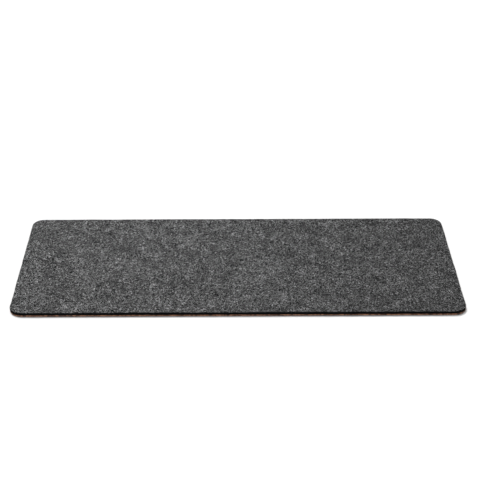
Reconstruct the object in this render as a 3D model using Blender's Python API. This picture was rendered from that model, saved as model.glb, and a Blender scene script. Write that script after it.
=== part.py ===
"""Two-ply desk mat: a wool-felt top bonded by a thin adhesive film to a cork base.

Metres, +Z up. The origin is the centre of the underside, +X runs along the long side
and -Y faces the person at the desk.
"""

import math

import bmesh
import bpy

# Driving dimensions of the finished mat.
WIDTH = 0.500
DEPTH = 0.210
THICKNESS = 0.005
CORNER_RADIUS = 0.014

# The layers, from the desk upwards. Bonded faces stand TOUCH_GAP apart.
CORK_THICKNESS = 0.0018
FILM_THICKNESS = 0.0002
TOUCH_GAP = 0.0003
FELT_ARRIS = 0.0006  # the felt's upper edge is brushed round, the cork's edges are cut square

FILM_BOTTOM = CORK_THICKNESS + TOUCH_GAP
FELT_BOTTOM = FILM_BOTTOM + FILM_THICKNESS + TOUCH_GAP

# How finely the round stretches are drawn.
CORNER_SEGMENTS = 16
ARRIS_SEGMENTS = 3
SHARP_ANGLE = math.radians(40)  # edges that turn by more than this are shaded as creases


def clear_scene():
    for obj in list(bpy.data.objects):
        bpy.data.objects.remove(obj, do_unlink=True)


def principled(name, colour, roughness):
    """A Principled material of one linear RGB colour."""
    material = bpy.data.materials.new(name)
    material.use_nodes = True
    shader = material.node_tree.nodes["Principled BSDF"]
    shader.inputs["Base Color"].default_value = (*colour, 1.0)
    shader.inputs["Roughness"].default_value = roughness
    return material


def rounded_outline():
    """Points anticlockwise round the mat, whose four corners are quarter circles."""
    centre_x = WIDTH / 2 - CORNER_RADIUS
    centre_y = DEPTH / 2 - CORNER_RADIUS
    corners = ((1, 1, 0), (-1, 1, 90), (-1, -1, 180), (1, -1, 270))
    points = []
    for side_x, side_y, start in corners:
        for step in range(CORNER_SEGMENTS + 1):
            angle = math.radians(start + 90 * step / CORNER_SEGMENTS)
            x = side_x * centre_x + CORNER_RADIUS * math.cos(angle)
            y = side_y * centre_y + CORNER_RADIUS * math.sin(angle)
            points.append((x, y))
    return points


def sheet(name, bottom, thickness, material, parent, arris=0.0):
    """One layer: the mat's outline extruded upwards from its own origin.

    All layers are cut in one stroke, so they share the outline. arris is the radius to which
    the upper edge is worn round.
    """
    mesh = bpy.data.meshes.new(name)
    model = bmesh.new()
    lower = model.faces.new([model.verts.new((x, y, 0.0)) for x, y in rounded_outline()])
    raised = bmesh.ops.extrude_face_region(model, geom=[lower], use_keep_orig=True)["geom"]
    upper = next(item for item in raised if isinstance(item, bmesh.types.BMFace))
    bmesh.ops.translate(model, verts=upper.verts, vec=(0.0, 0.0, thickness))
    if arris:
        bmesh.ops.bevel(
            model,
            geom=list(upper.edges),
            offset=arris,
            offset_type="OFFSET",
            segments=ARRIS_SEGMENTS,
            profile=0.5,
            affect="EDGES",
        )
    bmesh.ops.recalc_face_normals(model, faces=model.faces)
    model.to_mesh(mesh)
    model.free()
    mesh.shade_smooth()
    mesh.set_sharp_from_angle(angle=SHARP_ANGLE)
    mesh.materials.append(material)

    obj = bpy.data.objects.new(name, mesh)
    bpy.context.scene.collection.objects.link(obj)
    obj.location = (0.0, 0.0, bottom)
    obj.parent = parent
    return obj


def build_mat():
    mat = bpy.data.objects.new("desk_mat", None)
    bpy.context.scene.collection.objects.link(mat)

    cork = principled("cork", (0.17, 0.083, 0.050), roughness=0.85)
    adhesive = principled("adhesive", (0.62, 0.58, 0.50), roughness=0.45)
    felt = principled("felt", (0.050, 0.051, 0.052), roughness=1.0)

    sheet("cork_base", 0.0, CORK_THICKNESS, cork, mat)
    sheet("bond_film", FILM_BOTTOM, FILM_THICKNESS, adhesive, mat)
    sheet("felt_top", FELT_BOTTOM, THICKNESS - FELT_BOTTOM, felt, mat, arris=FELT_ARRIS)


clear_scene()
build_mat()
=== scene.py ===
"""Looks of the felt-and-cork desk mat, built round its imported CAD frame.

The felt, the adhesive film and the cork are each one closed sheet laid over its CAD node.
Lengths are in metres. +X runs along the long side and -Y faces the person at the desk.
"""

import math

import bpy
import numpy as np
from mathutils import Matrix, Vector, noise


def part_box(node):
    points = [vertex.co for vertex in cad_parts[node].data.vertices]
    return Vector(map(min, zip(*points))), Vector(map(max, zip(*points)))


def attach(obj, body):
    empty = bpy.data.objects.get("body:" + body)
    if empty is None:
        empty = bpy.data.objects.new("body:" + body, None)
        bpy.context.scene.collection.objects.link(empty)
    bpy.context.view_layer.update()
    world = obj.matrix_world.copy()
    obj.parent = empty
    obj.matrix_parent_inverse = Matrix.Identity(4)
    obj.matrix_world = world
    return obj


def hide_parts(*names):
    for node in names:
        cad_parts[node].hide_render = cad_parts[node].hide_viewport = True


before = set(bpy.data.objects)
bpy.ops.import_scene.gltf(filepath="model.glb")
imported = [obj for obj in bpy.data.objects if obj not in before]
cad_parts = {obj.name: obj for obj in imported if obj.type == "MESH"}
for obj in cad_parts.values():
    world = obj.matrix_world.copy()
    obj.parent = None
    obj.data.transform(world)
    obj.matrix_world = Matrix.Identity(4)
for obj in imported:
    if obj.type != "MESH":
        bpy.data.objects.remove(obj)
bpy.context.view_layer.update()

MM = 0.001

# ---------------------------------------------------------------- places, all from the frame
CORK_LOW, CORK_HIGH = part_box("cork_base")
FELT_LOW, FELT_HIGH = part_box("felt_top")
WIDTH = FELT_HIGH.x - FELT_LOW.x
DEPTH = FELT_HIGH.y - FELT_LOW.y
CENTRE = (FELT_LOW + FELT_HIGH) / 2
GROUND = CORK_LOW.z
TOP = FELT_HIGH.z
CORNER_RADIUS = 14 * MM

# The layers are pressed together: the film is thinner than its CAD solid and closes both gaps.
FILM_THICKNESS = 0.12 * MM
CORK_SWELL = 0.14 * MM
SEAM_LOW = CORK_HIGH.z + CORK_SWELL
SEAM_HIGH = SEAM_LOW + FILM_THICKNESS

# ---------------------------------------------------------------- colours, all linear
WOOL_BLACK, WOOL_CHARCOAL = (0.006, 0.006, 0.0062), (0.012, 0.012, 0.0122)
HAIR_GREY = (0.086, 0.0865, 0.087)
HAIR_PALE = (0.32, 0.321, 0.322)
HAIR_DARK = (0.002, 0.002, 0.0021)
# The felt's cut edge is painted near black: partly the close-cut wool's own darker colour, partly painted
# shade.
CUT_BLACK_AND_SHADE, CUT_CHARCOAL_AND_SHADE = (0.0006, 0.0006, 0.0008), (0.003, 0.003, 0.0034)
CUT_GREY = (0.03, 0.03, 0.031)
WOOL_SHADES = {"dark": 0.002, "grey": 0.014, "pale": 0.11, "light": 0.43}

CORK_DARK, CORK_LIGHT = (0.037, 0.019, 0.014), (0.36, 0.174, 0.103)
GRANULE_PALE, GRANULE_BARK = (0.36, 0.190, 0.114), (0.026, 0.014, 0.010)
GRANULE_RIM = (0.06, 0.03, 0.02)
CORK_PORE = (0.03, 0.016, 0.012)
# Painted shade for the foot of the cork's cut edge, where it meets the desk.
CORK_PAINTED_SHADE = (0.012, 0.010, 0.009)
FILM_CLEAR, FILM_MILKY = (0.10, 0.085, 0.07), (0.22, 0.19, 0.16)
FLOOR_DIM, FLOOR_BRIGHT = (0.45, 0.45, 0.45), (0.457, 0.457, 0.457)


# ---------------------------------------------------------------- meshes
def placed(name, data):
    """A new object made of that mesh, light or camera."""
    obj = bpy.data.objects.new(name, data)
    bpy.context.scene.collection.objects.link(obj)
    return obj


def rounded(x, y, half_x, half_y, radius):
    """A point of a plain rectangle moved into one with round corners, and the way out from there."""
    u = abs(x) - (half_x - radius)
    v = abs(y) - (half_y - radius)
    if u > 0 and v > 0:
        reach = math.hypot(u, v)
        shrink = max(u, v) / reach
        out = (math.copysign(u / reach, x), math.copysign(v / reach, y))
        x = math.copysign(half_x - radius + u * shrink, x)
        y = math.copysign(half_y - radius + v * shrink, y)
        return x, y, out
    if u / radius > v / radius:
        return x, y, (math.copysign(1.0, x), 0.0)
    return x, y, (0.0, math.copysign(1.0, y))


def ply(name, low, high, facing, step, splits, arris, arris_rows, side_rows, face_relief, edge_relief):
    """A closed sheet with the mat's outline, finely divided on the face that shows.

    facing is 1 if that face is the upper one and -1 if it is the lower. The face is a grid of
    the given step, and each of its border edges meets splits edges of the rim. face_relief(x, y)
    lifts a point of the face, and edge_relief(x, y, z) moves a point of the cut edge outwards.
    """
    thickness = high - low
    half_x = WIDTH / 2 - arris
    half_y = DEPTH / 2 - arris
    columns = round(2 * half_x / step)
    rows = round(2 * half_y / step)
    points = []
    faces = []

    def level(height):
        """The world height of a point that far above the back of the sheet."""
        return low + height if facing > 0 else high - height

    def face(*corners):
        faces.append(corners if facing > 0 else corners[::-1])

    outward = []
    for j in range(rows + 1):
        for i in range(columns + 1):
            x = -half_x + 2 * half_x * i / columns
            y = -half_y + 2 * half_y * j / rows
            x, y, out = rounded(x, y, half_x, half_y, CORNER_RADIUS - arris)
            outward.append(Vector(out))
            points.append((x, y, level(thickness + face_relief(x, y))))
    across = columns + 1
    for j in range(rows):
        for i in range(columns):
            first = j * across + i
            face(first, first + 1, first + across + 1, first + across)

    border = list(range(columns))
    border += [j * across + columns for j in range(rows)]
    border += [rows * across + i for i in range(columns, 0, -1)]
    border += [j * across for j in range(rows, 0, -1)]
    rim = []
    for corner, after in zip(border, border[1:] + border[:1]):
        for part in range(splits):
            place = Vector(points[corner][:2]).lerp(Vector(points[after][:2]), part / splits)
            out = outward[corner].lerp(outward[after], part / splits).normalized()
            rim.append((place, out, face_relief(*place)))

    def ring_of(distance, height, ruffled):
        """A ring of points that far out from the grid's border and above the back of the sheet."""
        first = len(points)
        for place, out, relief in rim:
            x, y = place + out * (distance + ruffled * edge_relief(*place, height))
            points.append((x, y, level(height + relief * height / thickness)))
        return range(first, len(points))

    profile = []
    for row in range(1, arris_rows + 1):
        turn = math.pi / 2 * row / arris_rows
        height = thickness - arris * (1 - math.cos(turn))
        profile.append((arris * math.sin(turn), height, row / arris_rows))
    for row in range(1, side_rows + 1):
        profile.append((arris, (thickness - arris) * (1 - row / side_rows), 1.0))
    rings = [ring_of(*place) for place in profile]

    near = (splits + 1) // 2
    for k, corner in enumerate(border):
        after = border[(k + 1) % len(border)]
        row = [rings[0][(k * splits + part) % len(rim)] for part in range(splits + 1)]
        for part in range(splits):
            face(corner if part < near else after, row[part], row[part + 1])
        face(corner, row[near], after)
    for ring, below in zip(rings, rings[1:]):
        for k in range(len(rim)):
            after = (k + 1) % len(rim)
            face(ring[k], below[k], below[after], ring[after])
    face(*reversed(rings[-1]))

    mesh = bpy.data.meshes.new(name)
    mesh.from_pydata(points, [], faces)
    mesh.update()
    mesh.shade_smooth()
    obj = placed(name, mesh)
    obj.location = (CENTRE.x, CENTRE.y, 0.0)
    return obj


def inside_outline(x, y, margin):
    """How far inside the outline, shrunk by margin, each point lies: negative outside it."""
    u = np.abs(x) - (WIDTH / 2 - CORNER_RADIUS)
    v = np.abs(y) - (DEPTH / 2 - CORNER_RADIUS)
    corner = np.hypot(np.maximum(u, 0.0), np.maximum(v, 0.0))
    return CORNER_RADIUS - margin - np.where((u > 0) & (v > 0), corner, np.maximum(u, v))


def curled_locks(rng, locks, fibres, steps, reach):
    """Locks of fibres that wander over the plane together: the points of each, and its headings.

    reach is the shortest and the longest step. The bends are in radians per metre of fibre.
    """
    spread, fan = 0.35 * MM, 0.3
    lock_bend, step_bend, fibre_bend = 160, 90, 40
    start = rng.uniform((-WIDTH / 2, -DEPTH / 2), (WIDTH / 2, DEPTH / 2), (locks, 2))
    start = start[:, None] + rng.normal(0, spread, (locks, fibres, 2))
    heading = rng.uniform(0, 2 * np.pi, (locks, 1)) + rng.normal(0, fan, (locks, fibres))
    spacing = rng.uniform(*reach, (locks, 1)) * rng.uniform(0.8, 1.2, (locks, fibres))
    bend = rng.normal(0, lock_bend, (locks, 1, 1)) + rng.normal(0, step_bend, (locks, 1, steps))
    bend = bend + rng.normal(0, fibre_bend, (locks, fibres, steps))
    headings = heading[..., None] + np.cumsum(bend * spacing[..., None], axis=2)
    moves = spacing[..., None, None] * np.stack([np.cos(headings), np.sin(headings)], axis=3)
    places = np.concatenate([start[:, :, None], start[:, :, None] + np.cumsum(moves, axis=2)], axis=2)
    headings = np.concatenate([headings, headings[..., -1:]], axis=2)
    return places.reshape(-1, steps + 1, 2), headings.reshape(-1, steps + 1)


def fibre_mesh(name, places, headings, heights, widths, shades):
    """One closed three-sided sliver for each line, lying on its flat side and tapering at its ends."""
    count, length = headings.shape
    along = np.linspace(0, 1, length)
    sharpness, blunt_end, crest_share = 6, 0.15, 0.7
    taper = np.clip(np.minimum(along, 1 - along) * sharpness, blunt_end, 1)
    across = np.stack([-np.sin(headings), np.cos(headings)], axis=2)
    half = 0.5 * widths[:, None] * taper
    left = np.concatenate([places + across * half[..., None], heights[..., None]], axis=2)
    right = np.concatenate([places - across * half[..., None], heights[..., None]], axis=2)
    crest = np.concatenate([places, heights[..., None] + crest_share * half[..., None]], axis=2)
    points = np.stack([left, right, crest], axis=2).reshape(-1, 3)

    first = 3 * (np.arange(count)[:, None] * length + np.arange(length - 1)).reshape(-1, 1)
    sides = [first + np.array(corners) for corners in ((0, 1, 4, 3), (1, 2, 5, 4), (2, 0, 3, 5))]
    ends = 3 * (np.arange(count) * length).reshape(-1, 1)
    caps = np.concatenate([ends + (0, 2, 1), ends + 3 * (length - 1) + (0, 1, 2)])
    mesh = bpy.data.meshes.new(name)
    mesh.from_pydata(points.tolist(), [], np.concatenate(sides).tolist() + caps.tolist())
    shade = np.concatenate([np.tile(np.repeat(shades, length - 1), 3), np.tile(shades, 2)])
    mesh.polygons.foreach_set("material_index", shade.astype(np.int32))
    mesh.update()
    mesh.shade_smooth()
    return placed(name, mesh)


def ripple(x, y, z, wavelength, seed):
    """Smooth noise from about -1 to 1 whose bumps are about a wavelength apart."""
    apart = 17.3
    return noise.noise(Vector((x / wavelength, y / wavelength, z / wavelength + apart * seed)))


# ---------------------------------------------------------------- materials
def material(name, roughness):
    made = bpy.data.materials.new(name)
    made.use_nodes = True
    tree = made.node_tree
    shader = tree.nodes["Principled BSDF"]
    shader.inputs["Roughness"].default_value = roughness
    return made, tree, shader


def add(tree, kind, inputs=None, **settings):
    """A new shader node. A value in inputs that is a socket is linked, and any other is set."""
    made = tree.nodes.new("ShaderNode" + kind)
    for key, value in settings.items():
        setattr(made, key, value)
    for key, value in (inputs or {}).items():
        if isinstance(value, bpy.types.NodeSocket):
            tree.links.new(value, made.inputs[key])
        else:
            made.inputs[key].default_value = value
    return made


def calc(tree, operation, *values):
    return add(tree, "Math", dict(enumerate(values)), operation=operation).outputs[0]


def grain(tree, place, size, detail=2.0, roughness=0.5):
    """Noise from 0 to 1 whose features are about size metres across."""
    inputs = {"Vector": place, "Scale": 1 / size, "Detail": detail, "Roughness": roughness}
    return add(tree, "TexNoise", inputs)


def height_of(tree, vector):
    return add(tree, "SeparateXYZ", {0: vector}).outputs["Z"]


def window(tree, value, low, high):
    """0 below low, 1 above high and a smooth step between."""
    inputs = {"Value": value, "From Min": low, "From Max": high}
    return add(tree, "MapRange", inputs, interpolation_type="SMOOTHSTEP").outputs[0]


def between(tree, factor, first, second):
    """The colour a share factor of the way from first to second."""
    made = add(tree, "Mix", data_type="RGBA")
    for index, value in ((0, factor), (6, first), (7, second)):
        if isinstance(value, bpy.types.NodeSocket):
            tree.links.new(value, made.inputs[index])
        elif index:
            made.inputs[index].default_value = (*value, 1.0)
        else:
            made.inputs[index].default_value = value
    return made.outputs[2]


def tint(tree, base, colour, mask, share):
    """The base with a share of the colour laid over it wherever the mask is 1."""
    return between(tree, calc(tree, "MULTIPLY", mask, share), base, colour)


def bent(tree, place, size, amount):
    """The place pushed about by noise, so that what is drawn from it curls."""
    push = grain(tree, place, size, detail=1.0).outputs["Color"]
    scaled = {0: push, 1: (amount, amount, amount), 2: place}
    return add(tree, "VectorMath", scaled, operation="MULTIPLY_ADD").outputs[0]


def strands(tree, place, size, turns, limits, crowd=None, pull=0.0):
    """Long thin flecks in several directions, 1 on a fleck and 0 off it.

    size is a fleck's length and thickness, and limits are the noise levels at its rim and inside
    it. crowd is a level from 0 to 1, and pull is how strongly the flecks gather where it is high.
    """
    length, thickness = size
    total = None
    for index in range(turns):
        turned = {
            "Vector": place,
            "Location": (0.31 * index, 0.17 * index, 0.0),
            "Rotation": (0.0, 0.0, math.pi * index / turns + 0.35),
            "Scale": (length, thickness, thickness),
        }
        along = add(tree, "Mapping", turned, vector_type="TEXTURE").outputs[0]
        level = grain(tree, along, 1.0, detail=1.0).outputs[0]
        if crowd:
            level = calc(tree, "MULTIPLY_ADD", crowd, pull, level)
        fleck = window(tree, level, *limits)
        total = fleck if total is None else calc(tree, "MAXIMUM", total, fleck)
    return total


def felt_surface():
    """Charcoal felt: near-black wool with paler fibres carded through it in tufts and locks."""
    made, tree, shader = material("felt_surface", roughness=1.0)
    place = add(tree, "TexCoord").outputs["Object"]
    curled = bent(tree, bent(tree, place, size=9 * MM, amount=9 * MM), size=2.4 * MM, amount=1.4 * MM)
    hair = 0.18 * MM

    tufts = strands(tree, curled, (2.1 * MM, 1.2 * MM), turns=3, limits=(0.56, 0.66))
    locks = strands(tree, curled, (1.8 * MM, 0.9 * MM), turns=3, limits=(0.60, 0.68))
    gaps = strands(tree, curled, (3.0 * MM, 1.3 * MM), turns=2, limits=(0.50, 0.62))
    grey_hairs = strands(tree, curled, (3.5 * MM, hair), turns=4, limits=(0.64, 0.70), crowd=tufts, pull=0.14)
    pale_hairs = strands(tree, curled, (4.0 * MM, hair), turns=3, limits=(0.73, 0.78), crowd=locks, pull=0.20)
    dark_hairs = strands(tree, curled, (3.0 * MM, hair), turns=3, limits=(0.69, 0.75), crowd=gaps, pull=0.19)
    cloud = grain(tree, place, 13 * MM, detail=2.0).outputs[0]
    speck = grain(tree, place, 0.5 * MM, detail=1.0).outputs[0]

    wool = between(tree, window(tree, cloud, 0.3, 0.7), WOOL_BLACK, WOOL_CHARCOAL)
    wool = between(tree, grey_hairs, wool, HAIR_GREY)
    wool = between(tree, pale_hairs, wool, HAIR_PALE)
    wool = between(tree, dark_hairs, wool, HAIR_DARK)
    brightening = {"Value": cloud, "From Min": 0.25, "From Max": 0.75, "To Min": 0.7, "To Max": 1.3}
    drift = add(tree, "MapRange", brightening).outputs[0]
    wool = add(tree, "VectorMath", {0: wool, 3: drift}, operation="SCALE").outputs[0]

    # Light hairs lie on top, so they stand a little proud.
    height = calc(tree, "MULTIPLY_ADD", grey_hairs, 0.5, calc(tree, "MULTIPLY", tufts, 0.3))
    height = calc(tree, "ADD", height, calc(tree, "MULTIPLY_ADD", speck, 0.4, pale_hairs))
    bump = add(tree, "Bump", {"Height": height, "Strength": 0.5, "Distance": 0.12 * MM})

    # The knife leaves the edge close and darker, and painted shade makes it near black: every surface turned
    # from straight up, the rounded arris too, takes the cut colour. The change from face to edge is ragged.
    upright = height_of(tree, add(tree, "NewGeometry").outputs["Normal"])
    ragged = calc(tree, "MULTIPLY_ADD", tufts, 0.04, calc(tree, "MULTIPLY_ADD", cloud, 0.08, upright))
    top = window(tree, ragged, 0.95, 1.005)
    cut = between(tree, window(tree, speck, 0.45, 0.75), CUT_BLACK_AND_SHADE, CUT_CHARCOAL_AND_SHADE)
    cut = tint(tree, cut, CUT_GREY, grey_hairs, 0.1)
    tree.links.new(between(tree, top, cut, wool), shader.inputs["Base Color"])
    tree.links.new(bump.outputs[0], shader.inputs["Normal"])
    shader.inputs["Specular IOR Level"].default_value = 0.03
    return made


def cork_board():
    """Fine agglomerated cork: pressed granules in several browns, dark bark specks and open pores."""
    made, tree, shader = material("cork_board", roughness=0.9)
    straight = add(tree, "TexCoord").outputs["Object"]
    place = bent(tree, bent(tree, straight, size=2.5 * MM, amount=1.2 * MM), size=0.6 * MM, amount=0.35 * MM)
    granules = {"Vector": place, "Scale": 1 / (2.2 * MM), "Detail": 1.0, "Roughness": 0.6}
    colours = add(tree, "TexVoronoi", granules, normalize=True).outputs["Color"]
    cells = add(tree, "SeparateColor", {0: colours}).outputs
    rims = add(tree, "TexVoronoi", granules, feature="DISTANCE_TO_EDGE").outputs[0]
    cloud = grain(tree, place, 1.6 * MM, detail=2.0).outputs[0]
    speck = grain(tree, place, 0.35 * MM, detail=2.0, roughness=0.7).outputs[0]

    tone = calc(tree, "MULTIPLY_ADD", speck, 0.6, calc(tree, "MULTIPLY_ADD", cloud, 0.5, -0.05))
    tone = calc(tree, "MULTIPLY_ADD", calc(tree, "SUBTRACT", cells[0], 0.5), 1.2, tone)
    brown = between(tree, window(tree, tone, 0.05, 0.95), CORK_DARK, CORK_LIGHT)
    brown = tint(tree, brown, GRANULE_PALE, window(tree, cells[1], 0.70, 0.80), 0.8)
    brown = tint(tree, brown, GRANULE_BARK, window(tree, cells[1], 0.28, 0.18), 0.85)
    seam = calc(tree, "MULTIPLY", window(tree, rims, 0.10, 0.0), window(tree, cloud, 0.35, 0.6))
    brown = tint(tree, brown, GRANULE_RIM, seam, 0.4)
    pores = window(tree, speck, 0.64, 0.74)
    brown = tint(tree, brown, CORK_PORE, pores, 0.55)

    # Painted shade darkens the lowest millimetre of the cut edge and its rounded lower lip, where the cork
    # meets the desk.
    above = calc(tree, "SUBTRACT", height_of(tree, straight), GROUND)
    upright = height_of(tree, add(tree, "NewGeometry").outputs["Normal"])
    low = window(tree, above, 1.1 * MM, 0.35 * MM)
    painted_lip_shade = calc(tree, "MULTIPLY", low, window(tree, upright, -0.97, -0.75))
    brown = tint(tree, brown, CORK_PAINTED_SHADE, painted_lip_shade, 0.85)

    hollows = calc(tree, "ADD", seam, pores)
    height = calc(tree, "MULTIPLY_ADD", cells[0], 0.4, calc(tree, "SUBTRACT", speck, hollows))
    bump = add(tree, "Bump", {"Height": height, "Strength": 0.6, "Distance": 0.1 * MM})
    tree.links.new(brown, shader.inputs["Base Color"])
    tree.links.new(bump.outputs[0], shader.inputs["Normal"])
    shader.inputs["Specular IOR Level"].default_value = 0.2
    return made


def adhesive_film():
    """Milky hot-melt film with the cloudy look it has once it has been pressed into felt."""
    made, tree, shader = material("adhesive_film", roughness=0.5)
    place = add(tree, "TexCoord").outputs["Object"]
    cloud = grain(tree, place, 3 * MM, detail=3.0).outputs[0]
    milk = between(tree, window(tree, cloud, 0.3, 0.7), FILM_CLEAR, FILM_MILKY)
    tree.links.new(milk, shader.inputs["Base Color"])
    return made


# ---------------------------------------------------------------- the three layers
def felt_face(x, y):
    """The felt's thickness varies a little, and its surface is lumpy where fibres have matted."""
    swell = 0.25 * MM * ripple(x, y, 0.0, 28 * MM, seed=1)
    lumps = 0.05 * MM * ripple(x, y, 0.0, 5 * MM, seed=2)
    tufts = 0.04 * MM * ripple(x, y, 0.0, 2.2 * MM, seed=3)
    return swell + lumps + tufts


def felt_edge(x, y, z):
    """The knife leaves the felt's edge slightly wavy, with tufts pulled out of it."""
    wander = 0.3 * MM * ripple(x, y, 0.0, 30 * MM, seed=12)
    wave = 0.35 * MM * ripple(x, y, z, 10 * MM, seed=4)
    tufts = 0.18 * MM * ripple(x, y, z, 2.5 * MM, seed=5)
    return wander + wave + tufts


def cork_face(x, y):
    """The sanded underside is nearly flat, and nowhere lower than the desk."""
    return 0.015 * MM * (ripple(x, y, 0.0, 3 * MM, seed=6) - 1)


def cork_edge(x, y, z):
    """Granules torn out of the cork's cut edge, or left standing."""
    granules = 0.09 * MM * ripple(x, y, z, 1.6 * MM, seed=7)
    crumbs = 0.06 * MM * ripple(x, y, z, 0.9 * MM, seed=10)
    return granules + crumbs - 0.05 * MM


def film_edge(x, y, z):
    """The film ends 0.2 to 0.7 mm inside the cut."""
    return 0.25 * MM * ripple(x, y, z, 6 * MM, seed=8) - 0.45 * MM


def level_face(x, y):
    return 0.0


def fibre_wool(name, level):
    """Wool of one shade. A fibre is too thin to show any change along it, so its colour is constant."""
    made, tree, shader = material(name, roughness=0.9)
    shader.inputs["Base Color"].default_value = (level, level, 1.02 * level, 1.0)
    shader.inputs["Specular IOR Level"].default_value = 0.03
    return made


def surface_fibres(name, seed, locks, fibres, steps, reach, thickness):
    """Loose fibres matted onto the face in curling locks, denser in some places than in others."""
    rng = np.random.default_rng(seed)
    places, headings = curled_locks(rng, locks, fibres, steps, reach)
    lock_of = np.repeat(np.arange(locks), fibres)
    margin, patch, pallor_patch, pallor_pull = 0.6 * MM, 9 * MM, 13 * MM, 2.2
    density = np.array([ripple(x, y, 0.0, patch, seed=9) for x, y in places[::fibres, 0]])
    keep = (density > rng.uniform(-0.7, 0.5, locks))[lock_of]
    keep &= inside_outline(places[..., 0], places[..., 1], margin).min(axis=1) > 0
    pallor = np.array([ripple(x, y, 0.0, pallor_patch, seed=11) for x, y in places[::fibres, 0]])
    tone = (rng.uniform(0, len(WOOL_SHADES), locks) + pallor_pull * pallor)[lock_of]
    tone = tone + rng.integers(0, 2, len(lock_of))
    shades = np.clip(tone, 0, len(WOOL_SHADES) - 1).astype(int)[keep]
    places, headings = places[keep], headings[keep]

    sunk, low_arch, high_arch = 0.04 * MM, 0.02 * MM, 0.14 * MM
    relief = [felt_face(x, y) for x, y in places.reshape(-1, 2)]
    arch = np.sin(np.linspace(0, np.pi, steps + 1)) * rng.uniform(low_arch, high_arch, (len(places), 1))
    heights = TOP + np.reshape(relief, arch.shape) - sunk + arch
    widths = rng.uniform(*thickness, len(places))
    return fibre_mesh(name, places, headings, heights, widths, shades)


def rim_points(rng, count):
    """Random points of the outline, and the heading straight out of the mat at each."""
    straight_x = WIDTH / 2 - CORNER_RADIUS
    straight_y = DEPTH / 2 - CORNER_RADIUS
    corner = CORNER_RADIUS * np.pi / 2
    way = rng.uniform(0, straight_x + corner + straight_y, count)
    out = np.pi / 2 - np.clip((way - straight_x) / CORNER_RADIUS, 0, np.pi / 2)
    x = np.minimum(way, straight_x) + CORNER_RADIUS * np.cos(out)
    y = straight_y - np.maximum(way - straight_x - corner, 0) + CORNER_RADIUS * np.sin(out)
    mirror = rng.choice((-1.0, 1.0), (2, count))
    heading = np.arctan2(np.sin(out) * mirror[1], np.cos(out) * mirror[0])
    return np.stack([x, y], axis=1) * mirror.T, heading


def edge_fuzz(name, seed):
    """Short thin fibres pulled out of the felt's cut edge."""
    rng = np.random.default_rng(seed)
    count, steps, rooted = 5200, 5, 0.25 * MM
    start, out = rim_points(rng, count)
    start = start - rooted * np.stack([np.cos(out), np.sin(out)], axis=1)
    turns = rng.normal(0, 0.25, (count, 1)) + rng.normal(0, 0.2, (count, steps))
    headings = (out + rng.normal(0, 0.9, count))[:, None] + np.cumsum(turns, axis=1)
    spacing = rng.uniform(0.08 * MM, 0.22 * MM, (count, 1, 1))
    moves = spacing * np.stack([np.cos(headings), np.sin(headings)], axis=2)
    places = start[:, None] + np.concatenate([np.zeros((count, 1, 2)), np.cumsum(moves, axis=1)], axis=1)
    headings = np.concatenate([headings, headings[:, -1:]], axis=1)
    rise = np.cumsum(rng.normal(0, 0.05 * MM, (count, steps + 1)), axis=1)
    heights = rng.uniform(SEAM_HIGH + 0.2 * MM, TOP - 0.3 * MM, (count, 1)) + rise
    heights = np.clip(heights, SEAM_HIGH, TOP)
    widths = rng.uniform(0.05 * MM, 0.09 * MM, count)
    shades = np.minimum(rng.geometric(0.85, count) - 1, 2)
    return fibre_mesh(name, places, headings, heights, widths, shades)


felt = ply(
    "felt_sheet", SEAM_HIGH, TOP, facing=1, step=1.25 * MM, splits=2, arris=0.7 * MM,
    arris_rows=4, side_rows=5, face_relief=felt_face, edge_relief=felt_edge,
)
felt.data.materials.append(felt_surface())
film = ply(
    "film_sheet", SEAM_LOW, SEAM_HIGH, facing=1, step=5 * MM, splits=1, arris=0.03 * MM,
    arris_rows=1, side_rows=1, face_relief=level_face, edge_relief=film_edge,
)
film.data.materials.append(adhesive_film())
cork = ply(
    "cork_sheet", CORK_LOW.z, SEAM_LOW, facing=-1, step=2 * MM, splits=4, arris=0.7 * MM,
    arris_rows=4, side_rows=4, face_relief=cork_face, edge_relief=cork_edge,
)
cork.data.materials.append(cork_board())

wool = [fibre_wool(f"wool_{shade}", level) for shade, level in WOOL_SHADES.items()]
SHORT = {
    "locks": 3400, "fibres": 3, "steps": 4,
    "reach": (0.25 * MM, 0.75 * MM), "thickness": (0.10 * MM, 0.24 * MM),
}
LONG = {
    "locks": 1700, "fibres": 2, "steps": 7,
    "reach": (0.7 * MM, 1.4 * MM), "thickness": (0.06 * MM, 0.11 * MM),
}
fibres = [surface_fibres(f"felt_fibres_{seed}", seed, **SHORT) for seed in range(1, 6)]
fibres += [surface_fibres(f"felt_hairs_{seed}", seed, **LONG) for seed in range(6, 8)]
fibres.append(edge_fuzz("edge_fuzz", 8))
for piece in fibres:
    for shade in wool:
        piece.data.materials.append(shade)
    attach(piece, "root")

for piece, node_name, slot_name in (
    (felt, "felt_top", "felt"),
    (film, "bond_film", "adhesive"),
    (cork, "cork_base", "cork"),
):
    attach(piece, "root")
    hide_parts(node_name)


# ---------------------------------------------------------------- floor, light and camera
def make_floor():
    reach = 6.0
    corners = [(-reach, -reach, 0), (reach, -reach, 0), (reach, reach, 0), (-reach, reach, 0)]
    mesh = bpy.data.meshes.new("floor")
    mesh.from_pydata(corners, [], [(0, 1, 2, 3)])
    floor = placed("floor", mesh)
    floor.location.z = GROUND
    made, tree, shader = material("floor_white", roughness=0.9)
    place = add(tree, "TexCoord").outputs["Object"]
    cloud = grain(tree, place, 0.4, detail=1.0).outputs[0]
    tree.links.new(between(tree, cloud, FLOOR_DIM, FLOOR_BRIGHT), shader.inputs["Base Color"])
    shader.inputs["Specular IOR Level"].default_value = 0.0
    mesh.materials.append(made)
    return floor


def stand(data, place, target):
    """A light standing at a place and facing the target, itself unseen by the camera."""
    light = placed(data.name, data)
    light.location = place
    light.rotation_mode = "QUATERNION"
    light.rotation_quaternion = (Vector(target) - Vector(place)).to_track_quat("-Z", "Y")
    light.visible_camera = False
    return light


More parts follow.
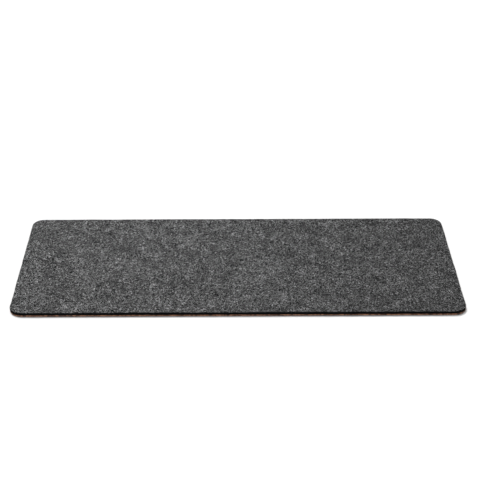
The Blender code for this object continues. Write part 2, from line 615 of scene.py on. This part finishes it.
def sun(name, energy, spread, place):
    """Light from the direction of that place, spread over so many degrees of the sky."""
    data = bpy.data.lights.new(name, "SUN")
    data.energy = energy
    data.angle = math.radians(spread)
    return stand(data, place, target=(0.0, 0.0, 0.0))


def light_only(light, name, objects):
    """Let a light fall on these objects alone. They and everything else still shade each other."""
    lit = bpy.data.collections.new(name)
    for obj in objects:
        lit.objects.link(obj)
    light.light_linking.receiver_collection = lit


def make_lights(floor, pieces):
    """A white room with a broad soft light from behind on the left.

    A smaller light falls only on the floor and draws the dark line where the mat meets it, and
    a softbox falls only on the mat.
    """
    world = bpy.data.worlds.new("studio")
    world.use_nodes = True
    sky = world.node_tree.nodes["Background"]
    sky.inputs["Color"].default_value = (1.0, 1.0, 1.0, 1.0)
    sky.inputs["Strength"].default_value = 1.0
    bpy.context.scene.world = world

    sun("broad_light", energy=0.85, spread=70, place=(-0.3, 0.6, 1.0))
    floor_light = sun("floor_light", energy=4.6, spread=25, place=(-0.3, 0.45, 1.0))
    light_only(floor_light, "lit_by_floor_light", [floor])

    box = bpy.data.lights.new("softbox", "AREA")
    box.shape = "RECTANGLE"
    box.size, box.size_y = 0.9, 0.6
    box.energy = 4.3
    softbox = stand(box, place=(-0.095, 0.164, 0.55), target=(-0.675, 0.175, 0.0))
    light_only(softbox, "lit_by_softbox", pieces)


def make_camera(focal_length, off_centre, distance, down, aside):
    """A camera that looks down at a point off the mat's centre, and that many degrees aside."""
    lens = bpy.data.cameras.new("camera")
    lens.lens = focal_length
    lens.sensor_width = 36.0
    lens.clip_end = 50.0
    camera = placed("camera", lens)
    target = Vector((CENTRE.x + off_centre[0], CENTRE.y + off_centre[1], TOP))
    down = math.radians(down)
    aside = math.radians(aside)
    level = math.cos(down)
    forward = Vector((math.sin(aside) * level, math.cos(aside) * level, -math.sin(down)))
    camera.location = target - distance * forward
    camera.rotation_euler = (math.pi / 2 - down, 0.0, -aside)
    bpy.context.scene.camera = camera


make_lights(make_floor(), [felt, film, cork, *fibres])
make_camera(focal_length=93.42, off_centre=(0.0031, 0.0526), distance=1.490, down=29.936, aside=0.456)
bpy.context.scene.view_settings.view_transform = "Standard"
